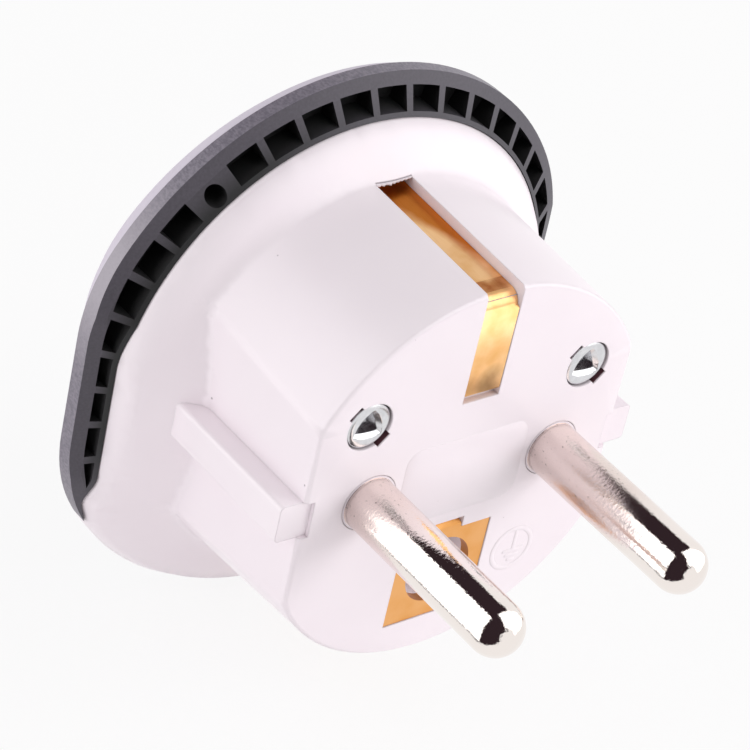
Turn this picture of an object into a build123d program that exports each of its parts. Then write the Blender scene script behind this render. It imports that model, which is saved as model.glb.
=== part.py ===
from build123d import *
import math
import os

# Earthed round-pin plug adapter, in millimetres.
# Every piece is drawn as seen from the pin side: x to the right, y up to the
# visible earth clip, z out along the pins, with the pin face at z = 0.

# Pins
pin_spacing = 19.0
pin_diameter = 4.8
pin_length = 19.0
pin_root_step = 0.2
pin_collar_step = 0.6
pin_collar = 1.1
pin_tail_diameter = 3.0
pin_head_step = 0.7
pin_head = 0.8
pin_clearance = 0.05

# Plug body of the rear housing
body_radius = 18.25
body_flat = 2.15
body_draft = 0.05
body_edge = 0.3
body_corner = 2.0
face_wall = 2.4
side_wall = 1.9
rib_width = 3.5
rib_height = 2.1
rib_step = 0.4
rib_step_run = 0.9
rib_edge = 0.4

# Head: shoulder, trim ring and front cover follow one outline
head_radius = 25.45
head_flat = 1.35
head_rise = 0.45
head_corner = 16.0
joint_depth = 21.9
shoulder_depth = 15.8
shoulder_slope = 0.64
shoulder_edge = 0.9
shoulder_root = 0.5
shoulder_flat = 0.3
shoulder_corner = 8.0
shoulder_wall = 2.6
lip_high = 8.4
lip_bulge = 0.6
lip_bulge_low = 10.8
lip_low = 13.6
lip_root = 4.0
lip_round = 3.0

# Trim ring
ring_band = 3.45
ring_height = 1.48
ring_slope = 0.55
ring_rim_wall = 1.05
ring_inner_wall = 0.4
ring_floor = 0.4
ring_gap = 0.08
ring_flange = 1.2
ring_flange_reach = 1.6
pocket_pitch = 8.82
pocket_phase = -4.3
pocket_angle = 7.15
pocket_count = 27
screw_eye = -4
screw_eye_radius = 0.9
screw_eye_inset = 2.25

# Front cover and its socket holes
cover_inset = 0.45
cover_thickness = 2.7
cover_bevel = 1.7
cover_break = 0.55
spigot_wall = 1.4
spigot_height = 1.2
spigot_clearance = 0.1
hole_line = -3.5
round_hole = 6.0
blade_slot = (2.0, 7.4)
blade_spacing = 12.7
angled_spacing = 13.72
angled_drop = -0.96
blade_tilt = 30.0
earth_hole_rise = 9.2

# Screws
screw_spacing = 22.46
screw_rise = 8.0
screw_head_diameter = 4.2
screw_head = 1.7
screw_sink = 0.25
screw_shank_diameter = 3.0
screw_length = 15.0
screw_recess = 1.1
screw_recess_radius = 1.4
screw_clearance = 0.1
screw_relief = (1.4, 5.1)
screw_relief_turn = 45.0
pillar_wall = 1.2
pillar_depth = 8.0

# Earth strips
strip = 0.6
strip_clearance = 0.05
clip_width = 3.6
clip_recess = 1.0
clip_face_recess = 0.35
clip_foot = 7.95
clip_bend = 0.9
clip_foot_bend = 0.45
clip_end_gap = 2.7
channel_end = 17.0
lower_clip_width = 4.8
lower_clip_lap = 0.65
pad_margin = 1.4
pad_depth = 3.25

# Earth plate round the hole for the socket's earth pin
earth_hole_drop = 10.0
earth_hole_radius = 3.25
earth_hole_depth = 16.0
earth_tube_wall = 1.0
plate_side = 1.35
plate_rim = 0.85
plate_foot = 1.5
plate_recess = 0.5
tab_width = 3.0
tab_reach = 1.05
tab_bend = 0.5

# Contacts
contact_half_width = 4.3
contact_low = -7.6
contact_high = 3.3
contact_bend = 0.8
leaf_high = -0.4
leaf_gap = 0.7
leaf_mouth = 3.7
leaf_pinch = 1.4
leaf_root = 8.0
chamber_gap = 0.3
chamber_wall = 0.9
chamber_stop = 1.9
bridge_width = 3.4
bridge_top = 11.6
earth_leaf_spread = 6.4
earth_leaf_width = 5.0
earth_leaf_low = 6.6
earth_leaf_pinch = 0.4
rivet_diameter = 2.0
rivet_head_diameter = 3.2
rivet_head = 0.6

# Sizes that follow from those above
reach = 2 * head_radius
over = strip
pin_x = pin_spacing / 2
screw_x = screw_spacing / 2
pin_root_diameter = pin_diameter + 2 * pin_root_step
pin_collar_diameter = pin_root_diameter + 2 * pin_collar_step
pin_head_diameter = pin_tail_diameter + 2 * pin_head_step
body_half_width = body_radius - body_flat
inner_half_width = body_half_width - side_wall
head_half_width = head_radius - head_flat
root_radius = body_radius + body_draft * shoulder_depth
shoulder_radius = head_radius - ring_band
shoulder_half_width = shoulder_radius - shoulder_flat
inner_radius = shoulder_radius - shoulder_wall
flange_inner = shoulder_radius - ring_flange_reach
screw_hole_diameter = screw_shank_diameter + 2 * screw_clearance
pillar_diameter = screw_hole_diameter + 2 * pillar_wall
plate_half_width = earth_hole_radius + plate_side
plate_top = -earth_hole_drop + earth_hole_radius + plate_rim
plate_bottom = -earth_hole_drop - earth_hole_radius - plate_foot
tab_rise = plate_top + tab_reach

# Depths shared by the pieces
joint = -joint_depth
plate_seat = -plate_recess - strip
bridge_seat = -face_wall
collar_seat = -face_wall - pin_collar
screw_seat = -screw_sink - screw_head
flange_top = joint + ring_flange
ring_back = joint + ring_height
clip_end_depth = joint_depth - clip_end_gap
channel_mouth = shoulder_depth - shoulder_root
leaf_depth = joint_depth - leaf_gap
leaf_pinch_depth = leaf_depth - leaf_mouth
chamber_depth = joint_depth - chamber_stop


def prism(sketch, low, high):
    return extrude(Pos(0, 0, low) * sketch, amount=high - low)


def cylinder(diameter, low, high, x=0.0, y=0.0):
    return prism(Pos(x, y) * Circle(diameter / 2), low, high)


def block(x0, x1, y0, y1, z0, z1):
    return Pos((x0 + x1) / 2, (y0 + y1) / 2, (z0 + z1) / 2) * Box(x1 - x0, y1 - y0, z1 - z0)


def flattened(radius, flat):
    return Pos(0, head_rise) * (Circle(radius) & Rectangle(2 * (radius - flat), reach + radius))


def below_cone(radius, depth, slope):
    top = -depth + slope * radius
    profile = Polyline((0, top), (reach, top - slope * reach), (0, top - slope * reach), close=True)
    return revolve(make_face(Plane.XZ * profile), axis=Axis.Z)


def corner_near(outline, x, y):
    return min(outline.vertices(), key=lambda corner: math.dist((corner.X, corner.Y), (x, y)))


def bent_strip(points, bend, width, plane, grow=0.0):
    centre = FilletPolyline(*points, radius=bend)
    section = trace(centre, line_width=strip + 2 * grow)
    return extrude(plane * section, amount=width / 2 + grow, both=True)


def mirrored(part):
    return part + mirror(part, about=Plane.YZ)


# Outlines across the pin axis: the shoulder widens into the lip below its flared sides
head_outline = flattened(head_radius, head_flat)
head_outline = fillet(head_outline.vertices(), head_corner)
lip_tip_x = math.sqrt(head_radius ** 2 - (lip_low + head_rise) ** 2)
lip_bulge_x = shoulder_half_width + lip_bulge
lip_edge = [
    (shoulder_half_width, -lip_high),
    (lip_bulge_x, -lip_bulge_low),
    (lip_tip_x, -lip_low),
    (reach, -lip_low),
    (reach, -reach),
]
lip_zone = make_face(Polyline(*lip_edge, *((-x, y) for x, y in reversed(lip_edge)), close=True))
shoulder_round = flattened(shoulder_radius, shoulder_flat)
shoulder_side = Pos(0, -lip_high / 2) * Rectangle(2 * shoulder_half_width, lip_high)
shoulder_outline = shoulder_round + shoulder_side + (head_outline & lip_zone)
flat_top = head_rise + math.sqrt(shoulder_radius ** 2 - shoulder_half_width ** 2)
for x, y, radius in (
    (shoulder_half_width, flat_top, shoulder_corner),
    (shoulder_half_width, -lip_high, lip_root),
    (lip_bulge_x, -lip_bulge_low, lip_round),
    (lip_tip_x, -lip_low, lip_round),
):
    shoulder_outline = fillet([corner_near(shoulder_outline, side * x, y) for side in (-1, 1)], radius)
ring_inside = offset(shoulder_outline, ring_gap)
upper_half = Pos(0, reach) * Rectangle(2 * reach, 2 * reach)

# Rear housing: drafted body with side flats and guide ribs, shoulder and lip
drafted = make_face(Plane.XZ * Polyline(
    (0, 0),
    (body_radius, 0),
    (body_radius + body_draft * joint_depth, joint),
    (0, joint),
    close=True,
))
body = revolve(drafted, axis=Axis.Z) & block(-body_half_width, body_half_width, -reach, reach, joint, 0)
body = fillet(body.edges().group_by(Axis.Z)[1], body_corner)
body = chamfer(body.faces().sort_by(Axis.Z)[-1].edges(), body_edge)
shoulder = prism(shoulder_outline, joint, 0) & below_cone(root_radius, shoulder_depth, shoulder_slope)
shoulder = chamfer(shoulder.faces().sort_by(Axis.Z)[-1].edges(), shoulder_edge)
housing = body + shoulder
housing = chamfer(new_edges(body, shoulder, combined=housing), shoulder_root)
for side in (-1, 1):
    rib_ends = sorted((side * inner_half_width, side * (body_half_width + rib_height)))
    rib = block(*rib_ends, -rib_width / 2, rib_width / 2, joint + side_wall, -rib_step)
    rib = fillet(rib.faces().sort_by(Axis.X)[0 if side < 0 else -1].edges().filter_by(Axis.Z), rib_edge)
    housing += rib
    step_ends = sorted((side * (body_half_width - rib_step_run), side * body_radius))
    housing -= block(*step_ends, -rib_width / 2, rib_width / 2, -rib_step, over)

# Rear housing: cavity open to the front, with pillars, chambers, earth tube and clip pads
bore = make_face(Plane.XZ * Polyline(
    (0, -face_wall),
    (body_radius - side_wall, -face_wall),
    (body_radius - side_wall + body_draft * joint_depth, joint),
    (0, joint),
    close=True,
))
cavity = revolve(bore, axis=Axis.Z) & block(-inner_half_width, inner_half_width, -reach, reach, joint, 0)
under_cone = below_cone(root_radius, shoulder_depth + 1.2 * side_wall, shoulder_slope)
cavity += under_cone & cylinder(2 * inner_radius, joint, 0)
shell = housing - cavity

chamber_low = contact_low - chamber_gap
chamber_high = contact_high + chamber_gap
chamber_left = pin_x - contact_half_width - chamber_gap
chamber_right = pin_x + contact_half_width + chamber_gap
chamber = block(
    chamber_left - chamber_wall, inner_half_width + chamber_wall,
    chamber_low - chamber_wall, chamber_high + chamber_wall,
    -chamber_depth, -face_wall,
)
chamber -= block(chamber_left, chamber_right, chamber_low, chamber_high, -chamber_depth, -face_wall)
shell += mirrored(chamber)
for side in (-1, 1):
    shell += cylinder(pillar_diameter, -pillar_depth, -face_wall, side * screw_x, screw_rise)
tube_diameter = 2 * (earth_hole_radius + earth_tube_wall)
shell += cylinder(tube_diameter, -earth_hole_depth - earth_tube_wall, -face_wall, 0, -earth_hole_drop)
pad_outer = body_radius - strip
for half_width, low, high in (
    (clip_width / 2 + pad_margin, pad_outer - pad_depth, pad_outer),
    (lower_clip_width / 2 + pad_margin, -pad_outer, pad_depth - pad_outer),
):
    shell += block(-half_width, half_width, low, high, -shoulder_depth, -face_wall)

# Earth strips: their paths lie in the plane of symmetry, as (y, z)
clip_line = body_radius - clip_recess - strip / 2
clip_end = clip_line + body_draft * clip_end_depth
upper_path = [
    (clip_end, -clip_end_depth),
    (clip_line, -clip_face_recess - strip / 2),
    (clip_foot, -clip_face_recess - strip / 2),
    (clip_foot, bridge_seat),
]
lower_path = [
    (-clip_end, -clip_end_depth),
    (-clip_line, plate_seat - strip / 2),
    (plate_bottom + lower_clip_lap, plate_seat - strip / 2),
]
tab_path = [
    (plate_top - strip, -plate_recess - strip / 2),
    (tab_rise - strip / 2, -plate_recess - strip / 2),
    (tab_rise - strip / 2, bridge_seat),
]
upper_bends = [clip_bend, clip_foot_bend]
upper_earth_clip = bent_strip(upper_path, upper_bends, clip_width, Plane.YZ)
lower_earth_clip = bent_strip(lower_path, clip_bend, lower_clip_width, Plane.YZ)
earth_plate = block(-plate_half_width, plate_half_width, plate_bottom, plate_top, plate_seat, -plate_recess)
earth_plate += bent_strip(tab_path, tab_bend, tab_width, Plane.YZ)
earth_plate -= cylinder(2 * earth_hole_radius, -face_wall, 0, 0, -earth_hole_drop)

# Rear housing: seats cut for the strips, plate, pins and screws
gap = strip_clearance
shell -= bent_strip(upper_path, upper_bends, clip_width, Plane.YZ, gap)
shell -= bent_strip(lower_path, clip_bend, lower_clip_width, Plane.YZ, gap)
shell -= bent_strip(tab_path, tab_bend, tab_width, Plane.YZ, gap)
for sign, width, top in ((1, clip_width, over), (-1, lower_clip_width, plate_seat)):
    channel = make_face(Polyline(
        (sign * clip_line, top),
        (sign * (clip_line + body_draft * channel_end), -channel_end),
        (sign * root_radius, -channel_end),
        (sign * root_radius, -channel_mouth),
        (sign * reach, -channel_mouth),
        (sign * reach, top),
        close=True,
    ))
    shell -= extrude(Plane.YZ * channel, amount=width / 2 + gap, both=True)
half = clip_width / 2 + gap
shell -= block(-half, half, clip_foot - strip / 2 - gap, body_radius, -clip_face_recess - strip / 2, over)
half = plate_half_width + gap
shell -= block(-half, half, plate_bottom - gap, plate_top + gap, plate_seat, over)
half = tab_width / 2 + gap
shell -= block(-half, half, plate_top - strip, tab_rise + gap, -plate_recess - strip / 2, over)
shell -= cylinder(2 * earth_hole_radius, -earth_hole_depth, over, 0, -earth_hole_drop)
for side in (-1, 1):
    shell -= cylinder(pin_root_diameter + 2 * pin_clearance, -face_wall, over, side * pin_x, 0)
    shell -= cylinder(screw_head_diameter + 2 * screw_clearance, screw_seat, over, side * screw_x, screw_rise)
    relief = Pos(side * screw_x, screw_rise) * Rot(0, 0, screw_relief_turn) * Rectangle(*screw_relief)
    shell -= prism(relief, screw_seat, over)
    shell -= cylinder(screw_hole_diameter, -pillar_depth, 0, side * screw_x, screw_rise)
flange_zone = (offset(shoulder_round, 2 * ring_gap) & upper_half) - Circle(flange_inner)
rebate = offset(shoulder_round, ring_flange_reach) & (Pos(0, -ring_gap) * upper_half)
rebate -= Circle(flange_inner - ring_gap)
rear_housing = shell - prism(rebate, joint, flange_top)

# Trim ring: sloping band outside the shoulder, pocketed all round and clamped by a flange
band = head_outline - ring_inside
roof = make_face(Plane.XZ * Polyline(
    (-head_half_width, ring_back),
    (0, ring_back + ring_slope * head_half_width),
    (head_half_width, ring_back),
    (head_half_width, joint),
    (-head_half_width, joint),
    close=True,
))
trim_ring = prism(band, joint, 0) & below_cone(head_radius, -ring_back, ring_slope)
trim_ring &= extrude(roof, amount=reach, both=True)
inner_wall = offset(shoulder_outline, ring_gap + ring_inner_wall)
trim_ring += prism(flange_zone, joint, flange_top)
pocket_band = offset(head_outline, -ring_rim_wall) - inner_wall
for index in range(-(pocket_count // 2), pocket_count // 2 + 1):
    middle = pocket_phase + index * pocket_pitch
    low = math.radians(middle - pocket_angle / 2)
    high = math.radians(middle + pocket_angle / 2)
    wedge = make_face(Polyline(
        (0, head_rise),
        (reach * math.sin(low), head_rise + reach * math.cos(low)),
        (reach * math.sin(high), head_rise + reach * math.cos(high)),
        close=True,
    ))
    pocket = pocket_band & wedge
    if index == screw_eye:
        eye = Vector(0, head_radius - screw_eye_inset).rotate(Axis.Z, -middle)
        trim_ring -= cylinder(2 * screw_eye_radius, joint + ring_floor, 0, eye.X, head_rise + eye.Y)
    elif pocket and pocket.area > ring_inner_wall ** 2:
        trim_ring -= prism(pocket, joint + ring_floor, 0)

# Front cover: socket holes for round, flat and angled pins, spigot and screw bosses
cover_front = joint - cover_thickness
cover_outline = flattened(head_radius - cover_inset, head_flat + cover_inset)
cover_outline = fillet(cover_outline.vertices(), head_corner - cover_inset)
front_cover = prism(cover_outline, cover_front, joint)
front_cover = chamfer(front_cover.edges().group_by(Axis.Z)[0], cover_bevel)
for level in (-3, 0):
    front_cover = chamfer(front_cover.edges().group_by(Axis.Z)[level], cover_break)
spigot_radius = inner_radius - spigot_clearance
spigot = Circle(spigot_radius) - Circle(spigot_radius - spigot_wall)
front_cover += prism(spigot, joint, joint + spigot_height)
holes = Pos(0, earth_hole_rise) * (Circle(round_hole / 2) + Rectangle(*blade_slot))
for side in (-1, 1):
    boss = cylinder(pillar_diameter, joint, -pillar_depth, side * screw_x, screw_rise)
    screw_end = screw_seat - screw_length
    front_cover += boss - cylinder(screw_shank_diameter, screw_end, 0, side * screw_x, screw_rise)
    holes += Pos(side * pin_x, hole_line) * Circle(round_hole / 2)
    holes += Pos(side * blade_spacing / 2, hole_line) * Rectangle(*blade_slot)
    tilted = Rot(0, 0, side * blade_tilt) * Rectangle(*blade_slot)
    holes += Pos(side * angled_spacing / 2, hole_line + angled_drop) * tilted
front_cover -= prism(holes, cover_front - over, joint + over)

# Pins: pushed through from inside up to the collar, tails headed over the contacts
tail_end = collar_seat - strip
pin = cylinder(pin_diameter, 0, pin_length - pin_diameter / 2)
pin += cylinder(pin_root_diameter, -face_wall, 0)
pin += Pos(0, 0, pin_length - pin_diameter / 2) * Sphere(pin_diameter / 2)
pin += cylinder(pin_collar_diameter, collar_seat, -face_wall)
pin += cylinder(pin_tail_diameter, tail_end, collar_seat)
pin += cylinder(pin_head_diameter, tail_end - pin_head, tail_end)
live_pin = Pos(-pin_x, 0, 0) * pin
neutral_pin = Pos(pin_x, 0, 0) * pin


def spring_contact(x, half_width, low, high, seat, pinch):
    side = half_width - strip / 2
    right = [
        (side, seat - strip / 2),
        (side, -leaf_root),
        (side - pinch, -leaf_pinch_depth),
        (side - pinch / 2, -leaf_depth),
    ]
    left = [(-along, depth) for along, depth in reversed(right)]
    return Pos(x, (low + high) / 2, 0) * bent_strip(left + right, contact_bend, high - low, Plane.XZ)


# Contacts: each one folded strip, with a base under the pin and two spring leaves
neutral_contact = spring_contact(
    pin_x, contact_half_width, contact_low, contact_high, collar_seat, leaf_pinch,
)
neutral_contact -= block(0, body_radius, leaf_high, contact_high, joint, tail_end - contact_bend)
neutral_contact -= cylinder(pin_tail_diameter, tail_end, collar_seat, pin_x, 0)
live_contact = mirror(neutral_contact, about=Plane.YZ)

# Earth path inside: bridge from the upper clip to the plate, with the front earth contact on it
bridge_face = bridge_seat - strip
earth_leaf_high = earth_leaf_low + earth_leaf_width
earth_middle = earth_leaf_low + earth_leaf_width / 2
bridge_low = tab_rise - strip
earth_bridge = block(-bridge_width / 2, bridge_width / 2, bridge_low, bridge_top, bridge_face, bridge_seat)
earth_bridge -= cylinder(rivet_diameter, bridge_face, bridge_seat, 0, earth_middle)
earth_contact = spring_contact(
    0, earth_leaf_spread / 2, earth_leaf_low, earth_leaf_high, bridge_face, earth_leaf_pinch,
)
earth_contact -= cylinder(rivet_diameter, bridge_face - strip, bridge_face, 0, earth_middle)
earth_rivet = cylinder(rivet_diameter, bridge_face - strip, bridge_seat, 0, earth_middle)
rivet_top = bridge_face - strip
earth_rivet += cylinder(rivet_head_diameter, rivet_top - rivet_head, rivet_top, 0, earth_middle)

# Screws: sunk heads with a three-cornered recess
screw = cylinder(screw_head_diameter, screw_seat, -screw_sink)
screw += cylinder(screw_shank_diameter, screw_seat - screw_length, screw_seat)
screw -= prism(RegularPolygon(screw_recess_radius, 3), -screw_sink - screw_recess, 0)
housing_screws = Pos(-screw_x, screw_rise, 0) * screw + Pos(screw_x, screw_rise, 0) * screw

# Frame of the part: pins along +Y, visible earth clip towards +Z, origin on the pin face
FRAME = Plane(origin=(0, 0, 0), x_dir=(-1, 0, 0), z_dir=(0, 1, 0))
nodes = {
    "rear_housing": rear_housing,
    "trim_ring": trim_ring,
    "front_cover": front_cover,
    "live_pin": live_pin,
    "neutral_pin": neutral_pin,
    "live_contact": live_contact,
    "neutral_contact": neutral_contact,
    "upper_earth_clip": upper_earth_clip,
    "lower_earth_clip": lower_earth_clip,
    "earth_plate": earth_plate,
    "earth_bridge": earth_bridge,
    "earth_contact": earth_contact,
    "earth_rivet": earth_rivet,
    "housing_screws": housing_screws,
}
os.makedirs("parts", exist_ok=True)
for name, part in nodes.items():
    export_step(FRAME * part, f"parts/{name}.step")
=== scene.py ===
import math

import bmesh
import bpy
from mathutils import Matrix, Vector


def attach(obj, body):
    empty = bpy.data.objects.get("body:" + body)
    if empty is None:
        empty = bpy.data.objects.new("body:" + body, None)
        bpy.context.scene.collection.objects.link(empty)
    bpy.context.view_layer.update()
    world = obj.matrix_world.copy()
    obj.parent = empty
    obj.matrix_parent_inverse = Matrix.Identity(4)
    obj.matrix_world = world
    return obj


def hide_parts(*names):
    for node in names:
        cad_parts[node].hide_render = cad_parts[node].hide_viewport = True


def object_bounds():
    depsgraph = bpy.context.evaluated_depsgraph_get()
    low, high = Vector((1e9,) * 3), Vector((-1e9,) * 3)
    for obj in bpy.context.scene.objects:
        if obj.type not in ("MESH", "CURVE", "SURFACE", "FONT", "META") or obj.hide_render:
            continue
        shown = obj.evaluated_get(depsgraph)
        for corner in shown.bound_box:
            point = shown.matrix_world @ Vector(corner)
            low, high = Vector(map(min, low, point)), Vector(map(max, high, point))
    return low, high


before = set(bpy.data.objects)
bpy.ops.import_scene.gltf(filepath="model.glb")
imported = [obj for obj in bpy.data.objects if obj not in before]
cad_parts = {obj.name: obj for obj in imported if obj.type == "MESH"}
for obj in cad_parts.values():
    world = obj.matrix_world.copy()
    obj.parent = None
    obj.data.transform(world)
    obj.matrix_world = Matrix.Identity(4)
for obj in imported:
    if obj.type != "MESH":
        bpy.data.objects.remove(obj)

cad_box = [list(corner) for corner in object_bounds()]
scene = bpy.context.scene

# Rear housing: one injection moulding in white ABS, with plug body, shoulder and lip in one piece.
# It comes from a polished steel mould, so its skin has a soft sheen, flow clouds and handling scuffs.


def linear(code):
    channels = [int(code[i:i + 2], 16) / 255 for i in (1, 3, 5)]
    return [c / 12.92 if c <= 0.04045 else ((c + 0.055) / 1.055) ** 2.4 for c in channels] + [1.0]


def add(tree, kind, links=None, **settings):
    made = tree.nodes.new(kind)
    for name, value in settings.items():
        setattr(made, name, value)
    for name, value in (links or {}).items():
        if isinstance(value, bpy.types.NodeSocket):
            tree.links.new(value, made.inputs[name])
        else:
            made.inputs[name].default_value = value
    return made


def new_material(name):
    material = bpy.data.materials.new(name)
    material.use_nodes = True
    material.node_tree.nodes.clear()
    return material, material.node_tree


def finished(name, mesh, crease, material, node_name=None):
    # The piece as it is seen: smooth but for its creases, riding on the one body of the plug.
    mesh.shade_smooth()
    mesh.set_sharp_from_angle(angle=math.radians(crease))
    mesh.materials.clear()
    mesh.materials.append(material)
    piece = bpy.data.objects.new(name, mesh)
    scene.collection.objects.link(piece)
    if node_name:
        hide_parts(node_name)
    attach(piece, "root")
    return piece


def skin_of(node_name, crease, material):
    # The solid's own surface as one clean skin, with its triangles joined.
    shape = bmesh.new()
    shape.from_mesh(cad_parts[node_name].data)
    bmesh.ops.remove_doubles(shape, verts=shape.verts, dist=1e-6)
    shape.verts.index_update()
    points = [vert.co[:] for vert in shape.verts]
    faces = [[vert.index for vert in face.verts] for face in shape.faces]
    shape.free()
    mesh = bpy.data.meshes.new(node_name + "_skin")
    mesh.from_pydata(points, [], faces)
    return finished(node_name + "_skin", mesh, crease, material, node_name)


def as_built(piece):
    # The piece with its modifiers worked in, as a plain mesh.
    return bpy.data.meshes.new_from_object(piece.evaluated_get(bpy.context.evaluated_depsgraph_get()))


def flats_kept_flat(piece):
    # Small chamfers are shaded as the soft rounds that they stand for; the flats beside them stay flat.
    flats = piece.modifiers.new("flats_kept_flat", "WEIGHTED_NORMAL")
    flats.keep_sharp = True
    flats.weight = 100
    shaded = as_built(piece)
    piece.modifiers.clear()
    piece.data = shaded


def white_abs(name, thin, thick, least_rough, most_rough):
    # White ABS: flow clouds about 11 mm across, scuffs about 2 mm, edges rounded to 0.15 mm, a dust
    # speck
    # 0.2 mm across here and there, at most one in each 4 mm cell, and painted shade in corners 3 mm
    # deep.
    material, tree = new_material(name)
    place = add(tree, "ShaderNodeTexCoord")
    cloud = add(tree, "ShaderNodeTexNoise", {
        "Vector": place.outputs["Object"], "Scale": 90.0, "Detail": 3.0,
    })
    shade = add(tree, "ShaderNodeMix", {
        "Factor": cloud.outputs["Fac"], 6: linear(thin), 7: linear(thick),
    }, data_type="RGBA")
    dust = add(tree, "ShaderNodeTexVoronoi", {"Vector": place.outputs["Object"], "Scale": 250.0})
    speck = add(tree, "ShaderNodeMapRange", {
        "Value": dust.outputs["Distance"], "From Min": 0.018, "From Max": 0.03,
        "To Min": 0.7, "To Max": 0.0,
    })
    dusted = add(tree, "ShaderNodeMix", {
        "Factor": speck.outputs["Result"], 6: shade.outputs[2], 7: linear("#8E8188"),
    }, data_type="RGBA")
    # Painted shade: corners sheltered within 3 mm are darkened towards a brownish grey.
    shelter = add(tree, "ShaderNodeAmbientOcclusion", {"Distance": 0.003}, samples=6)
    corner_shade = add(tree, "ShaderNodeMapRange", {
        "Value": shelter.outputs["AO"], "From Min": 0.1, "From Max": 0.42,
        "To Min": 0.45, "To Max": 0.0,
    })
    corner_shaded = add(tree, "ShaderNodeMix", {
        "Factor": corner_shade.outputs["Result"], 6: dusted.outputs[2], 7: linear("#8A7474"),
    }, data_type="RGBA")
    # Painted shade: the relief notches, 2.5 mm from the screws' axes, are painted dark red from 0.1 to
    # 2.4 mm down.
    folded = add(tree, "ShaderNodeVectorMath", {0: place.outputs["Object"]}, operation="ABSOLUTE")
    level = add(tree, "ShaderNodeVectorMath", {
        0: folded.outputs["Vector"], 1: across_pins,
    }, operation="MULTIPLY")
    from_screw = add(tree, "ShaderNodeVectorMath", {
        0: level.outputs["Vector"], 1: (screw_x / 1000, 0.0, screw_y / 1000),
    }, operation="DISTANCE")
    in_hole = add(tree, "ShaderNodeMath", {
        0: from_screw.outputs["Value"], 1: 0.0025, 2: 0.00025,
    }, operation="COMPARE")
    where = add(tree, "ShaderNodeSeparateXYZ", {"Vector": place.outputs["Object"]})
    below = add(tree, "ShaderNodeMath", {
        0: where.outputs["Y"], 1: -0.00125, 2: 0.00115,
    }, operation="COMPARE")
    hole_shade_share = add(tree, "ShaderNodeMath", {
        0: in_hole.outputs["Value"], 1: below.outputs["Value"],
    }, operation="MULTIPLY")
    shaded = add(tree, "ShaderNodeMix", {
        "Factor": hole_shade_share.outputs["Value"], 6: corner_shaded.outputs[2], 7: linear("#6B444C"),
    }, data_type="RGBA")
    scuff = add(tree, "ShaderNodeTexNoise", {
        "Vector": place.outputs["Object"], "Scale": 480.0, "Detail": 4.0,
    })
    gloss = add(tree, "ShaderNodeMapRange", {
        "Value": scuff.outputs["Fac"], "To Min": least_rough, "To Max": most_rough,
    })
    soft_edge = add(tree, "ShaderNodeBevel", {"Radius": 0.00015}, samples=4)
    ripple = add(tree, "ShaderNodeBump", {
        "Height": scuff.outputs["Fac"], "Normal": soft_edge.outputs["Normal"],
        "Strength": 0.05, "Distance": 0.0002,
    })
    surface = add(tree, "ShaderNodeBsdfPrincipled", {
        "Base Color": shaded.outputs[2], "Roughness": gloss.outputs["Result"],
        "Normal": ripple.outputs["Normal"], "IOR": 1.53,
    })
    add(tree, "ShaderNodeOutputMaterial", {"Surface": surface.outputs["BSDF"]})
    return material


# The screws' axes, in millimetres to either side and up, and what leaves out the way along the pins.
screw_x, screw_y = 11.23, 8.0
across_pins = (1.0, 0.0, 1.0)
moulding_crease = 50
polished_white = white_abs("moulded_white_abs", "#F5EAF1", "#FAF1F6", least_rough=0.26, most_rough=0.40)
flats_kept_flat(skin_of("rear_housing", moulding_crease, polished_white))

# Marks on the pin face: an empty rating plate and the earth sign, both cut into the mould, so that
# they stand a twentieth of a millimetre or less proud of the face in the same white ABS.


def at(x, y, z):
    # A point drawn as seen from the pin side, in millimetres, set in the frame of the part.
    return Vector((-x, z, y)) / 1000


def raised(name, outlines, low, high):
    # Flat outlines on sloping walls: each one is drawn at its foot and, a little smaller, at its top.
    points = []
    faces = []
    for foot, top in outlines:
        first = len(points)
        count = len(foot)
        points += [at(x, y, low) for x, y in foot] + [at(x, y, high) for x, y in top]
        faces.append([first + count + i for i in range(count)])
        faces.append([first + i for i in reversed(range(count))])
        for i in range(count):
            near, after = first + i, first + (i + 1) % count
            faces.append((near, after, after + count, near + count))
    mesh = bpy.data.meshes.new(name)
    mesh.from_pydata(points, [], faces)
    return mesh


def rounded_box(x0, x1, y0, y1, radius, grow):
    corners = []
    for x, y, start in ((x1, y1, 0), (x0, y1, 90), (x0, y0, 180), (x1, y0, 270)):
        middle_x = x - radius if x == x1 else x + radius
        middle_y = y - radius if y == y1 else y + radius
        for turn in range(0, 91, 15):
            angle = math.radians(start + turn)
            reach = radius + grow
            corners.append((middle_x + reach * math.cos(angle), middle_y + reach * math.sin(angle)))
    return corners


mark_sunk, mark_slope, mark_crease = -0.03, 0.16, 30
plate_box, plate_proud = (-6.25, 6.25, -3.75, 3.9, 1.4), 0.02
plate = raised("empty_rating_plate", [
    (rounded_box(*plate_box, mark_slope), rounded_box(*plate_box, 0.0)),
], mark_sunk, plate_proud)
finished("empty_rating_plate", plate, mark_crease, polished_white)
sign_x, sign_y, sign_proud = 8.0, -10.25, 0.05
# The sign's stem and its three bars: half a width, foot and top.
bar_middle, bar_round = sign_x + 0.2, 0.09
bars = []
for half, low, high in (
    (0.10, -10.42, -8.5), (1.05, -10.62, -10.42), (0.7, -11.12, -10.92), (0.35, -11.62, -11.42),
):
    bar = (bar_middle - half, bar_middle + half, low, high, bar_round)
    bars.append((rounded_box(*bar, mark_slope), rounded_box(*bar, 0.0)))
sign = raised("earth_sign", bars, mark_sunk, sign_proud)
finished("earth_sign", sign, mark_crease, polished_white)
hoop_steps, hoop_foot, hoop_inner, hoop_outer = 64, 1.90, 1.95, 2.20
hoop_profile = (
    (hoop_foot - mark_slope, mark_sunk), (hoop_inner, sign_proud),
    (hoop_outer, sign_proud), (hoop_outer + mark_slope, mark_sunk),
)
points = []
for radius, height in hoop_profile:
    for step in range(hoop_steps):
        angle = 2 * math.pi * step / hoop_steps
        points.append(at(sign_x + radius * math.cos(angle), sign_y + radius * math.sin(angle), height))
faces = []
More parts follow.
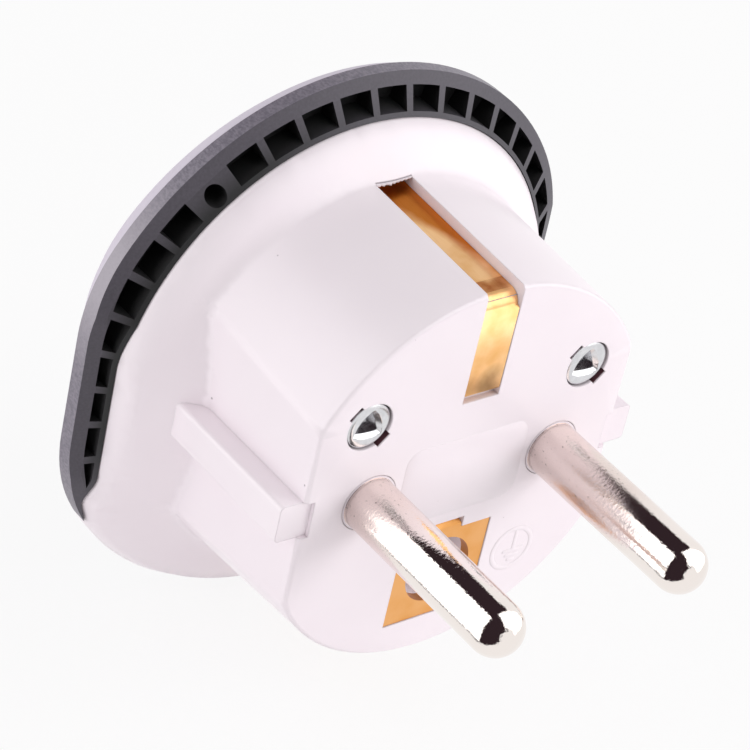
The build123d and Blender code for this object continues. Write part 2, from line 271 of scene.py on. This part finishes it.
for ring in range(len(hoop_profile)):
    inner, outer = ring * hoop_steps, (ring + 1) % len(hoop_profile) * hoop_steps
    for step in range(hoop_steps):
        after = (step + 1) % hoop_steps
        faces.append((inner + step, outer + step, outer + after, inner + after))
hoop = bpy.data.meshes.new("earth_sign_hoop")
hoop.from_pydata(points, [], faces)
finished("earth_sign_hoop", hoop, mark_crease, polished_white)

# Mould flash: a torn fringe of the same ABS where the mould halves meet at the end of the clip's
# channel. It is a tenth of a millimetre thick and was never trimmed.
flash_half, flash_back, flash_low, flash_high = 1.84, -15.75, 18.85, 18.98
flash_teeth = (
    0.5, 0.62, 0.5, 0.7, 0.52, 0.6, 0.78, 0.55, 0.66,
    0.5, 0.58, 0.47, 0.54, 0.42, 0.5, 0.4, 0.44, 0.36,
)
points = []
for i, reach in enumerate(flash_teeth):
    x = -flash_half + 2 * flash_half * i / (len(flash_teeth) - 1)
    points += [at(x, flash_high, flash_back), at(x, flash_high, flash_back + reach),
               at(x, flash_low, flash_back + reach), at(x, flash_low, flash_back)]
last = len(points) - 4
faces = [(3, 2, 1, 0), (last, last + 1, last + 2, last + 3)]
for first in range(0, last, 4):
    for side in range(4):
        near, far = first + side, first + (side + 1) % 4
        faces.append((near, far, far + 4, near + 4))
flash = bpy.data.meshes.new("mould_flash")
flash.from_pydata(points, [], faces)
shape = bmesh.new()
shape.from_mesh(flash)
bmesh.ops.recalc_face_normals(shape, faces=shape.faces)
shape.to_mesh(flash)
shape.free()
finished("mould_flash", flash, mark_crease, polished_white)

# Earth path: clips, plate, bridge and contact, blanked from rolled spring brass and bent.
# Rolling leaves faint lines along the strip, handling leaves smudges, and the clip has a painted
# shadow of its channel wall, a deep orange past a slanting line.
brass, tree = new_material("rolled_spring_brass")
place = add(tree, "ShaderNodeTexCoord")
# Rolling lines 0.12 mm apart and 4 mm long, along the pin axis.
along = add(tree, "ShaderNodeMapping", {
    "Vector": place.outputs["Object"], "Scale": (8000.0, 250.0, 8000.0),
})
lines = add(tree, "ShaderNodeTexNoise", {
    "Vector": along.outputs["Vector"], "Scale": 1.0, "Detail": 2.0,
})
# Smudges 3 mm across.
smudge = add(tree, "ShaderNodeTexNoise", {
    "Vector": place.outputs["Object"], "Scale": 300.0, "Detail": 4.0,
})
stain = add(tree, "ShaderNodeMapRange", {
    "Value": smudge.outputs["Fac"], "From Min": 0.42, "From Max": 0.68,
})
tone = add(tree, "ShaderNodeMix", {
    "Factor": stain.outputs["Result"], 6: linear("#FFCF98"), 7: linear("#F0B46E"),
}, data_type="RGBA")
where = add(tree, "ShaderNodeSeparateXYZ", {"Vector": place.outputs["Object"]})
# The painted shadow starts past a slanting line, from one edge 13 mm down the channel to the other at 4
# mm.
across = add(tree, "ShaderNodeMath", {
    0: where.outputs["X"], 1: -1000.0, 2: -3.04,
}, operation="MULTIPLY_ADD")
slant = add(tree, "ShaderNodeMath", {
    0: where.outputs["Y"], 1: -311.0, 2: across.outputs["Value"],
}, operation="MULTIPLY_ADD")
ragged = add(tree, "ShaderNodeMath", {
    0: smudge.outputs["Fac"], 1: 1.4, 2: slant.outputs["Value"],
}, operation="MULTIPLY_ADD")
sheltered = add(tree, "ShaderNodeMapRange", {
    "Value": ragged.outputs["Value"], "From Min": 0.2, "From Max": 1.4,
})
in_channel = add(tree, "ShaderNodeMapRange", {
    "Value": where.outputs["Z"], "From Min": 0.0164, "From Max": 0.0169,
})
channel_wall_shade = add(tree, "ShaderNodeMath", {
    0: sheltered.outputs["Result"], 1: in_channel.outputs["Result"],
}, operation="MULTIPLY")
shaded_channel_tone = add(tree, "ShaderNodeMix", {
    "Factor": channel_wall_shade.outputs["Value"], 6: tone.outputs[2], 7: linear("#D07A26"),
}, data_type="RGBA")
# A reddish band 1.4 mm wide stands just before the bend.
from_band = add(tree, "ShaderNodeMath", {
    0: where.outputs["Y"], 1: -0.0021, 2: 0.0007,
}, operation="COMPARE")
band = add(tree, "ShaderNodeMath", {
    0: from_band.outputs["Value"], 1: in_channel.outputs["Result"],
}, operation="MULTIPLY")
band_share = add(tree, "ShaderNodeMath", {
    0: band.outputs["Value"], 1: stain.outputs["Result"],
}, operation="MULTIPLY")
banded = add(tree, "ShaderNodeMix", {
    "Factor": band_share.outputs["Value"], 6: shaded_channel_tone.outputs[2], 7: linear("#B46A38"),
}, data_type="RGBA")
# A thumb-dark smudge 3 mm across sits at the clip's foot.
from_foot = add(tree, "ShaderNodeVectorMath", {
    0: place.outputs["Object"], 1: (-0.0006, -0.00035, 0.0094),
}, operation="DISTANCE")
foot = add(tree, "ShaderNodeMapRange", {
    "Value": from_foot.outputs["Value"], "From Min": 0.0005, "From Max": 0.0017,
    "To Min": 1.0, "To Max": 0.0,
})
foot_share = add(tree, "ShaderNodeMath", {
    0: foot.outputs["Result"], 1: smudge.outputs["Fac"],
}, operation="MULTIPLY")
worn = add(tree, "ShaderNodeMix", {
    "Factor": foot_share.outputs["Value"], 6: banded.outputs[2], 7: linear("#4A3218"),
}, data_type="RGBA")
# The plate, below the pins, came from a redder roll than the clip.
low_down = add(tree, "ShaderNodeMapRange", {
    "Value": where.outputs["Z"], "From Min": -0.003, "From Max": 0.0,
    "To Min": 0.65, "To Max": 0.0,
})
rolled = add(tree, "ShaderNodeMix", {
    "Factor": low_down.outputs["Result"], 6: worn.outputs[2], 7: linear("#E39A4C"),
}, data_type="RGBA")
rough = add(tree, "ShaderNodeMapRange", {
    "Value": smudge.outputs["Fac"], "To Min": 0.22, "To Max": 0.42,
})
roll = add(tree, "ShaderNodeBump", {
    "Height": lines.outputs["Fac"], "Strength": 0.12, "Distance": 0.0001,
})
surface = add(tree, "ShaderNodeBsdfPrincipled", {
    "Base Color": rolled.outputs[2], "Metallic": 1.0, "Roughness": rough.outputs["Result"],
    "Normal": roll.outputs["Normal"],
})
add(tree, "ShaderNodeOutputMaterial", {"Surface": surface.outputs["BSDF"]})
# The clip's foot and the plate are pressed up, so that they lie almost level with the pin face:
# what stands above the first height is lifted by the second, in metres.
strip_crease = 30
pressed_up = {"upper_earth_clip": (-0.00036, 0.00030), "earth_plate": (-0.00052, 0.00042)}
for name in (
    "upper_earth_clip", "earth_plate", "lower_earth_clip",
    "earth_bridge", "earth_contact", "earth_rivet",
):
    strip = skin_of(name, strip_crease, brass)
    if name in pressed_up:
        above, lift = pressed_up[name]
        for vert in strip.data.vertices:
            if vert.co.y > above:
                vert.co.y += lift

# Pins: brass rod, turned, plated with bright nickel and pressed through the face up to the collar.
# The plating is mirror bright towards the tip, and dull, pitted and warmer near the face, where it
# rubs.


def turned(name, rings, x, y, top, bottom):
    # A closed skin round an axis along the pins: every ring gives its radii all round, and its height.
    steps = len(rings[0][0])
    angles = [2 * math.pi * step / steps for step in range(steps)]
    points = [at(x, y, top)]
    for radii, height in rings:
        points += [at(x + r * math.cos(a), y + r * math.sin(a), height)
                   for r, a in zip(radii, angles)]
    points.append(at(x, y, bottom))
    last = len(points) - 1
    faces = []
    for step in range(steps):
        after = (step + 1) % steps
        faces.append((0, 1 + step, 1 + after))
        for ring in range(len(rings) - 1):
            inner, outer = 1 + ring * steps, 1 + (ring + 1) * steps
            faces.append((inner + step, outer + step, outer + after, inner + after))
        rim = 1 + (len(rings) - 1) * steps
        faces.append((rim + step, last, rim + after))
    mesh = bpy.data.meshes.new(name)
    mesh.from_pydata(points, [], faces)
    return mesh


pin_x, pin_radius, pin_length, pin_steps = 9.5, 2.4, 19.0, 96
creep_radius, pin_crease = 2.43, 35
nickel, tree = new_material("bright_nickel_plate")
place = add(tree, "ShaderNodeTexCoord")
where = add(tree, "ShaderNodeSeparateXYZ", {"Vector": place.outputs["Object"]})
# Wear clouds 4 mm across, and pits 0.25 mm across.
cloud = add(tree, "ShaderNodeTexNoise", {
    "Vector": place.outputs["Object"], "Scale": 250.0, "Detail": 3.0,
})
pits = add(tree, "ShaderNodeTexNoise", {
    "Vector": place.outputs["Object"], "Scale": 4000.0, "Detail": 3.0,
})
# The wear fades out about 3 to 8 mm up the live pin, and 6 mm further up the neutral one.
other_pin = add(tree, "ShaderNodeMath", {0: where.outputs["X"], 1: 0.0}, operation="LESS_THAN")
shift = add(tree, "ShaderNodeMath", {
    0: other_pin.outputs["Value"], 1: -0.006, 2: where.outputs["Y"],
}, operation="MULTIPLY_ADD")
height = add(tree, "ShaderNodeMath", {
    0: cloud.outputs["Fac"], 1: 0.006, 2: shift.outputs["Value"],
}, operation="MULTIPLY_ADD")
dull = add(tree, "ShaderNodeMapRange", {
    "Value": height.outputs["Value"], "From Min": 0.006, "From Max": 0.011,
    "To Min": 1.0, "To Max": 0.0,
})
tone = add(tree, "ShaderNodeMix", {
    "Factor": dull.outputs["Result"], 6: linear("#EFE7E2"), 7: linear("#E8DAD4"),
}, data_type="RGBA")
spots = add(tree, "ShaderNodeMapRange", {
    "Value": pits.outputs["Fac"], "From Min": 0.66, "From Max": 0.74,
})
spot_share = add(tree, "ShaderNodeMath", {
    0: spots.outputs["Result"], 1: dull.outputs["Result"],
}, operation="MULTIPLY")
spotted = add(tree, "ShaderNodeMix", {
    "Factor": spot_share.outputs["Value"], 6: tone.outputs[2], 7: linear("#7A6A62"),
}, data_type="RGBA")
rough = add(tree, "ShaderNodeMapRange", {
    "Value": dull.outputs["Result"], "To Min": 0.05, "To Max": 0.26,
})
depth = add(tree, "ShaderNodeMapRange", {
    "Value": dull.outputs["Result"], "To Min": 0.3, "To Max": 0.5,
})
wave = add(tree, "ShaderNodeBump", {
    "Height": pits.outputs["Fac"], "Strength": depth.outputs["Result"], "Distance": 0.00005,
})
# White plastic has crept over the pin's foot, past a certain radius from its axis.
folded = add(tree, "ShaderNodeVectorMath", {0: place.outputs["Object"]}, operation="ABSOLUTE")
from_axis = add(tree, "ShaderNodeVectorMath", {
    0: folded.outputs["Vector"], 1: (pin_x / 1000, 0.0, 0.0),
}, operation="SUBTRACT")
level = add(tree, "ShaderNodeVectorMath", {
    0: from_axis.outputs["Vector"], 1: across_pins,
}, operation="MULTIPLY")
radius = add(tree, "ShaderNodeVectorMath", {0: level.outputs["Vector"]}, operation="LENGTH")
bare = add(tree, "ShaderNodeMath", {
    0: radius.outputs["Value"], 1: creep_radius / 1000,
}, operation="LESS_THAN")
covered = add(tree, "ShaderNodeMix", {
    "Factor": bare.outputs["Value"], 6: linear("#EFE4EB"), 7: spotted.outputs[2],
}, data_type="RGBA")
surface = add(tree, "ShaderNodeBsdfPrincipled", {
    "Base Color": covered.outputs[2], "Metallic": bare.outputs["Value"],
    "Roughness": rough.outputs["Result"], "Normal": wave.outputs["Normal"],
})
add(tree, "ShaderNodeOutputMaterial", {"Surface": surface.outputs["BSDF"]})

# Radius and height, from the round tip down to the face, then the foot, the collar, the neck that the
# contact sits on, and the headed tail.
tip_centre, foot_radius, foot_depth, tail_end = pin_length - pin_radius, 2.6, -2.4, -4.9
pin_profile = []
for lift in range(84, -1, -6):
    angle = math.radians(lift)
    pin_profile.append((pin_radius * math.cos(angle), tip_centre + pin_radius * math.sin(angle)))
pin_profile += [(pin_radius, 0.0), (foot_radius, 0.0), (foot_radius, foot_depth)]
pin_profile += [(3.15, foot_depth), (3.2, -2.45), (3.2, -3.45), (3.15, -3.5)]
pin_profile += [(1.5, -3.5), (1.5, -4.1)]
pin_profile += [(2.1, -4.1), (2.2, -4.2), (2.2, -4.7), (1.9, tail_end)]
for name, x in (("live_pin", -pin_x), ("neutral_pin", pin_x)):
    rings = [([radius] * pin_steps, height) for radius, height in pin_profile]
    mesh = turned(name + "_turned", rings, x, 0.0, pin_length, tail_end)
    finished(name + "_turned", mesh, pin_crease, nickel, name)

# Contacts: two spring leaves of the same brass strip for each pin, bent to grip the pins of a plug.
# Each contact sits on its pin's neck and is held there by the headed tail.
for name in ("live_contact", "neutral_contact"):
    skin_of(name, strip_crease, brass)

# Front cover: a white ABS disc with holes for several pin shapes, held by the screws from behind.
# Its mould was left satin, so it is duller than the housing; its colour is painted darker and more
# lavender, as painted shade.
shaded_satin_white = white_abs("satin_white_abs", "#D2C9D7", "#DAD2DF", least_rough=0.60, most_rough=0.72)
flats_kept_flat(skin_of("front_cover", moulding_crease, shaded_satin_white))

# Trim ring: a C-shaped moulding in dark grey ABS, clamped between housing and cover.
# Its rim and pockets come from a smooth mould, its outer wall from a spark-eroded one.
# Rim sizes in millimetres: its inner edge round the head's centre and on the flats, and that centre's
# height.
rim_radius, rim_flat, head_rise = 24.35, 23.0, 0.45
rib_crease = 30
grey_abs, tree = new_material("spark_eroded_grey_abs")
place = add(tree, "ShaderNodeTexCoord")
# Eroded grain 0.15 mm across, drawn 0.22 mm here so that it shows, and longer along the pin axis.
drawn = add(tree, "ShaderNodeMapping", {
    "Vector": place.outputs["Object"], "Scale": (4500.0, 3000.0, 4500.0),
})
grain = add(tree, "ShaderNodeTexNoise", {
    "Vector": drawn.outputs["Vector"], "Scale": 1.0, "Detail": 2.0,
})
facing = add(tree, "ShaderNodeNewGeometry")
split = add(tree, "ShaderNodeSeparateXYZ", {"Vector": facing.outputs["Normal"]})
upright = add(tree, "ShaderNodeMath", {0: split.outputs["Y"]}, operation="ABSOLUTE")
wall = add(tree, "ShaderNodeMapRange", {
    "Value": upright.outputs["Value"], "From Min": 0.2, "From Max": 0.4,
    "To Min": 1.0, "To Max": 0.0,
})
shade = add(tree, "ShaderNodeMix", {
    "Factor": grain.outputs["Fac"], 6: linear("#3B363F"), 7: linear("#4E4953"),
}, data_type="RGBA")
# Distance outwards from the rim's inner edge.
from_centre = add(tree, "ShaderNodeVectorMath", {
    0: place.outputs["Object"], 1: (0.0, 0.0, -head_rise / 1000),
}, operation="ADD")
spread = add(tree, "ShaderNodeVectorMath", {
    0: from_centre.outputs["Vector"], 1: across_pins,
}, operation="MULTIPLY")
radius = add(tree, "ShaderNodeVectorMath", {0: spread.outputs["Vector"]}, operation="LENGTH")
past_round = add(tree, "ShaderNodeMath", {
    0: radius.outputs["Value"], 1: rim_radius / 1000,
}, operation="SUBTRACT")
sides = add(tree, "ShaderNodeSeparateXYZ", {"Vector": place.outputs["Object"]})
side = add(tree, "ShaderNodeMath", {0: sides.outputs["X"]}, operation="ABSOLUTE")
beyond_flat = add(tree, "ShaderNodeMath", {
    0: side.outputs["Value"], 1: rim_flat / 1000,
}, operation="SUBTRACT")
# The pockets are half as wide on the flats, so depth counts double there.
past_flat = add(tree, "ShaderNodeMath", {
    0: beyond_flat.outputs["Value"], 1: 2.0,
}, operation="MULTIPLY")
outwards = add(tree, "ShaderNodeMath", {
    0: past_round.outputs["Value"], 1: past_flat.outputs["Value"],
}, operation="MAXIMUM")
outer_wall = add(tree, "ShaderNodeMapRange", {
    "Value": outwards.outputs["Value"], "From Min": 0.0006, "From Max": 0.0009,
    "To Max": wall.outputs["Result"],
})
# Painted shade, darkest near the inner wall and fading out towards the rim.
inside = add(tree, "ShaderNodeMapRange", {
    "Value": outwards.outputs["Value"], "From Min": -0.0019, "From Max": -0.0003,
    "To Min": 0.97, "To Max": 0.25,
})
# The painted shade is stronger on the live side.
live_side = add(tree, "ShaderNodeMapRange", {
    "Value": sides.outputs["X"], "From Min": 0.002, "From Max": 0.011,
    "To Min": 0.35, "To Max": 1.0,
})
painted_inner_shade = add(tree, "ShaderNodeMath", {
    0: inside.outputs["Result"], 1: live_side.outputs["Result"],
}, operation="MULTIPLY")
within = add(tree, "ShaderNodeMath", {
    0: outwards.outputs["Value"], 1: -0.00002,
}, operation="LESS_THAN")
dark_share = add(tree, "ShaderNodeMath", {
    0: painted_inner_shade.outputs["Value"], 1: within.outputs["Value"],
}, operation="MULTIPLY")
# The eroded outer wall is lighter grey, partly from its grain and partly as a painted sheen.
bright_grain = add(tree, "ShaderNodeMapRange", {
    "Value": grain.outputs["Fac"], "From Min": 0.36, "From Max": 0.64,
})
eroded = add(tree, "ShaderNodeMix", {
    "Factor": bright_grain.outputs["Result"], 6: linear("#6A6471"), 7: linear("#807985"),
}, data_type="RGBA")
# A painted highlight lightens the corner above the live side's flat, up to 9.5 mm around.
from_corner = add(tree, "ShaderNodeVectorMath", {
    0: place.outputs["Object"], 1: (0.023, -0.0215, 0.0115),
}, operation="DISTANCE")
painted_highlight_share = add(tree, "ShaderNodeMapRange", {
    "Value": from_corner.outputs["Value"], "From Min": 0.002, "From Max": 0.0095,
    "To Min": 0.8, "To Max": 0.0,
})
highlighted = add(tree, "ShaderNodeMix", {
    "Factor": painted_highlight_share.outputs["Result"], 6: eroded.outputs[2], 7: linear("#A9A2AB"),
}, data_type="RGBA")
skinned = add(tree, "ShaderNodeMix", {
    "Factor": outer_wall.outputs["Result"], 6: shade.outputs[2], 7: highlighted.outputs[2],
}, data_type="RGBA")
inner_shaded = add(tree, "ShaderNodeMix", {
    "Factor": dark_share.outputs["Value"], 6: skinned.outputs[2], 7: linear("#070609"),
}, data_type="RGBA")
# Pockets, ribs and inner wall, sheltered within 4 mm, get painted shade and look almost black.
shelter = add(tree, "ShaderNodeAmbientOcclusion", {"Distance": 0.004}, samples=8)
open_share = add(tree, "ShaderNodeMapRange", {
    "Value": shelter.outputs["AO"], "From Min": 0.45, "From Max": 0.9,
})
sunk = add(tree, "ShaderNodeMix", {
    "Factor": open_share.outputs["Result"], 6: linear("#060508"), 7: inner_shaded.outputs[2],
}, data_type="RGBA")
rough = add(tree, "ShaderNodeMapRange", {
    "Value": open_share.outputs["Result"], "To Min": 0.8, "To Max": 0.42,
})
depth = add(tree, "ShaderNodeMapRange", {
    "Value": outer_wall.outputs["Result"], "To Min": 0.05, "To Max": 0.45,
})
bite = add(tree, "ShaderNodeBump", {
    "Height": grain.outputs["Fac"], "Strength": depth.outputs["Result"], "Distance": 0.0001,
})
surface = add(tree, "ShaderNodeBsdfPrincipled", {
    "Base Color": sunk.outputs[2], "Roughness": rough.outputs["Result"],
    "Normal": bite.outputs["Normal"], "IOR": 1.53,
})
add(tree, "ShaderNodeOutputMaterial", {"Surface": surface.outputs["BSDF"]})
skin_of("trim_ring", rib_crease, grey_abs)

# Housing screws: two pan-head steel screws, cold headed with a three-cornered recess and zinc plated.
# They are driven from the pin side, through the housing, into the bosses of the cover.
zinc, tree = new_material("bright_zinc_plate")
place = add(tree, "ShaderNodeTexCoord")
# Plating bloom 0.7 mm across.
bloom = add(tree, "ShaderNodeTexNoise", {
    "Vector": place.outputs["Object"], "Scale": 1500.0, "Detail": 3.0,
})
tone = add(tree, "ShaderNodeMix", {
    "Factor": bloom.outputs["Fac"], 6: linear("#C9C8CC"), 7: linear("#E6E6E8"),
}, data_type="RGBA")
rough = add(tree, "ShaderNodeMapRange", {
    "Value": bloom.outputs["Fac"], "To Min": 0.12, "To Max": 0.3,
})
# The recess gets painted shade, sheltered within 0.8 mm.
shelter = add(tree, "ShaderNodeAmbientOcclusion", {"Distance": 0.0008}, samples=8)
open_share = add(tree, "ShaderNodeMapRange", {
    "Value": shelter.outputs["AO"], "From Min": 0.1, "From Max": 0.5,
})
sunk = add(tree, "ShaderNodeMix", {
    "Factor": open_share.outputs["Result"], 6: linear("#2A272C"), 7: tone.outputs[2],
}, data_type="RGBA")
surface = add(tree, "ShaderNodeBsdfPrincipled", {
    "Base Color": sunk.outputs[2], "Metallic": 1.0, "Roughness": rough.outputs["Result"],
})
add(tree, "ShaderNodeOutputMaterial", {"Surface": surface.outputs["BSDF"]})

screw_steps, screw_crease, recess_floor, shank_end = 72, 28, -1.3, -16.95
# The recess has a corner every 120 degrees, from 85 degrees on, cut short at 1.85 of its half width.
recess_corner, corner_reach = 85.0, 1.85
# Each ring: how round it is, its size and its height, from the recess over the head to the shank's end.
screw_profile = [
    (0.0, 0.40, -1.25), (0.0, 0.58, -0.75), (0.0, 0.70, -0.46), (0.12, 0.74, -0.36),
    (0.45, 1.12, -0.10), (0.6, 1.2, -0.06), (1.0, 1.62, -0.05), (1.0, 1.88, -0.09),
    (1.0, 2.05, -0.18), (1.0, 2.14, -0.32), (1.0, 2.17, -0.5), (1.0, 2.17, -1.9),
    (1.0, 2.12, -1.95), (1.0, 1.5, -1.95), (1.0, 1.5, -16.4), (1.0, 1.1, shank_end),
]
rings = []
for roundness, size, height in screw_profile:
    radii = []
    for step in range(screw_steps):
        from_side = math.radians((360 * step / screw_steps - recess_corner) % 120 - 60)
        corner = min(1 / math.cos(from_side), corner_reach)
        radii.append(size * (roundness + (1 - roundness) * corner))
    rings.append((radii, height))
one_screw = turned("one_screw", rings, 0.0, 0.0, recess_floor, shank_end)

row = bpy.data.node_groups.new("screw_row", "GeometryNodeTree")
for name, kind in (("Screw", "Geometry"), ("Spacing", "Float"), ("Rise", "Float"), ("Count", "Int"),
                   ("Plating", "Material")):
    row.interface.new_socket(name, in_out="INPUT", socket_type="NodeSocket" + kind)
row.interface.new_socket("Screws", in_out="OUTPUT", socket_type="NodeSocketGeometry")
given = add(row, "NodeGroupInput")
half = add(row, "ShaderNodeMath", {0: given.outputs["Spacing"], 1: -0.5}, operation="MULTIPLY")
start = add(row, "ShaderNodeCombineXYZ", {"X": half.outputs["Value"], "Z": given.outputs["Rise"]})
stride = add(row, "ShaderNodeCombineXYZ", {"X": given.outputs["Spacing"]})
holes = add(row, "GeometryNodeMeshLine", {
    "Count": given.outputs["Count"], "Start Location": start.outputs["Vector"],
    "Offset": stride.outputs["Vector"],
}, mode="OFFSET")
driven = add(row, "GeometryNodeInstanceOnPoints", {
    "Points": holes.outputs["Mesh"], "Instance": given.outputs["Screw"],
})
real = add(row, "GeometryNodeRealizeInstances", {"Geometry": driven.outputs["Instances"]})
plated = add(row, "GeometryNodeSetMaterial", {
    "Geometry": real.outputs["Geometry"], "Material": given.outputs["Plating"],
})
add(row, "NodeGroupOutput", {"Screws": plated.outputs["Geometry"]})
maker = bpy.data.objects.new("screw_maker", one_screw)
scene.collection.objects.link(maker)
screw_row = maker.modifiers.new("screw_row", "NODES")
screw_row.node_group = row
screw_sizes = {"Spacing": 2 * screw_x / 1000, "Rise": screw_y / 1000, "Count": 2, "Plating": zinc}
for socket in row.interface.items_tree:
    if socket.name in screw_sizes:
        screw_row[socket.identifier] = screw_sizes[socket.name]
screws = as_built(maker)
bpy.data.objects.remove(maker)
finished("housing_screws_headed", screws, screw_crease, zinc, "housing_screws")

# Studio: white floor and air, a soft key from the right, a soft side box from the left,
# and curved cards that only the shiny pieces mirror: a dark room with two bright windows.
floor_gap, floor_reach = 0.0004, 3.0
floor_z = cad_box[0][2] - floor_gap
world = bpy.data.worlds.new("studio_air")
scene.world = world
world.use_nodes = True
tree = world.node_tree
tree.nodes.clear()
path = add(tree, "ShaderNodeLightPath")
mirror = add(tree, "ShaderNodeMath", {
    0: path.outputs["Is Camera Ray"], 1: path.outputs["Is Glossy Ray"],
}, operation="MAXIMUM")
seen = add(tree, "ShaderNodeMath", {
    0: mirror.outputs["Value"], 1: path.outputs["Is Transmission Ray"],
}, operation="MAXIMUM")
air = add(tree, "ShaderNodeBackground", {"Color": (1, 1, 1, 1), "Strength": 0.72})
white = add(tree, "ShaderNodeBackground", {"Color": (1, 1, 1, 1), "Strength": 1.0})
backdrop = add(tree, "ShaderNodeMixShader", {
    0: seen.outputs["Value"], 1: air.outputs["Background"], 2: white.outputs["Background"],
})
add(tree, "ShaderNodeOutputWorld", {"Surface": backdrop.outputs["Shader"]})

paper, tree = new_material("white_paper_floor")
path = add(tree, "ShaderNodeLightPath")
sheet = add(tree, "ShaderNodeBsdfDiffuse", {"Color": linear("#F4F2F3")})
glow = add(tree, "ShaderNodeEmission", {"Color": (1, 1, 1, 1), "Strength": 1.0})
lit = add(tree, "ShaderNodeMixShader", {
    0: 0.85, 1: sheet.outputs["BSDF"], 2: glow.outputs["Emission"],
})
show = add(tree, "ShaderNodeMixShader", {
    0: path.outputs["Is Camera Ray"], 1: sheet.outputs["BSDF"], 2: lit.outputs["Shader"],
})
add(tree, "ShaderNodeOutputMaterial", {"Surface": show.outputs["Shader"]})
mesh = bpy.data.meshes.new("floor")
corners = [(x * floor_reach, y * floor_reach, floor_z) for x, y in ((-1, -1), (1, -1), (1, 1), (-1, 1))]
mesh.from_pydata(corners, [], [(0, 1, 2, 3)])
mesh.materials.append(paper)
floor = bpy.data.objects.new("floor", mesh)
floor.visible_glossy = False
floor.visible_shadow = False
scene.collection.objects.link(floor)

# Every card patch lies on a sphere of 1.2 m: its angles about the pin axis, then its leans along it.
card_distance, card_steps = 1.2, 24
for name, tint, strength, patches in (
    ("dark_room_card", "#33272C", 1.0, (
        (-41, -38, -0.9, 0.02), (61, 126, -0.9, 0.02),
        (-41, 86, 0.02, 0.86), (-41, 110, 0.86, 0.93))),
    ("bright_window_card", "#FFFFFF", 2.0, ((-35, 61, -0.9, 0.02), (86, 180, 0.02, 0.86))),
):
    card_paint, tree = new_material(name)
    shine = add(tree, "ShaderNodeEmission", {"Color": linear(tint), "Strength": strength})
    add(tree, "ShaderNodeOutputMaterial", {"Surface": shine.outputs["Emission"]})
    points = []
    faces = []
    for low_angle, high_angle, low_lean, high_lean in patches:
        for i in range(card_steps):
            first = len(points)
            for step_angle, step_lean in ((i, 0), (i + 1, 0), (i + 1, 1), (i, 1)):
                angle = math.radians(low_angle + (high_angle - low_angle) * step_angle / card_steps)
                lean = high_lean if step_lean else low_lean
                side = math.sqrt(1 - lean * lean)
                points.append(card_distance * Vector((
                    side * math.cos(angle), lean, side * math.sin(angle),
                )))
            faces.append((first, first + 1, first + 2, first + 3))
    mesh = bpy.data.meshes.new(name)
    mesh.from_pydata(points, [], faces)
    mesh.materials.append(card_paint)
    card = bpy.data.objects.new(name, mesh)
    card.visible_camera = False
    card.visible_diffuse = False
    card.visible_shadow = False
    card.visible_transmission = False
    scene.collection.objects.link(card)

for name, spot, size, power in (
    ("key_box", (-0.50, 0.45, 0.25), 0.45, 2.35),
    ("side_box", (0.55, -0.18, 0.08), 0.60, 0.95),
):
    lamp = bpy.data.lights.new(name, "AREA")
    lamp.size = size
    lamp.energy = power
    lamp_object = bpy.data.objects.new(name, lamp)
    lamp_object.location = spot
    lamp_object.rotation_euler = (-Vector(spot)).to_track_quat("-Z", "Y").to_euler()
    lamp_object.visible_glossy = False
    scene.collection.objects.link(lamp_object)

# Camera: a long lens about 0.27 m from the plug, above its pins and to their side.
# Place and turn come from the pins' own sizes, as they stand in the picture.
lens = bpy.data.cameras.new("long_lens")
lens.sensor_width = 36.0
lens.lens = 161.16
lens.clip_start = 0.01
camera = bpy.data.objects.new("camera", lens)
axes = Matrix((
    (-0.79064, -0.21979, 0.57148),
    (0.58368, -0.55251, 0.59502),
    (0.18497, 0.80400, 0.56512),
))
camera.matrix_world = Matrix.Translation((0.1595, 0.15358, 0.15917)) @ axes.to_4x4()
scene.collection.objects.link(camera)
scene.camera = camera
scene.view_settings.view_transform = "Standard"
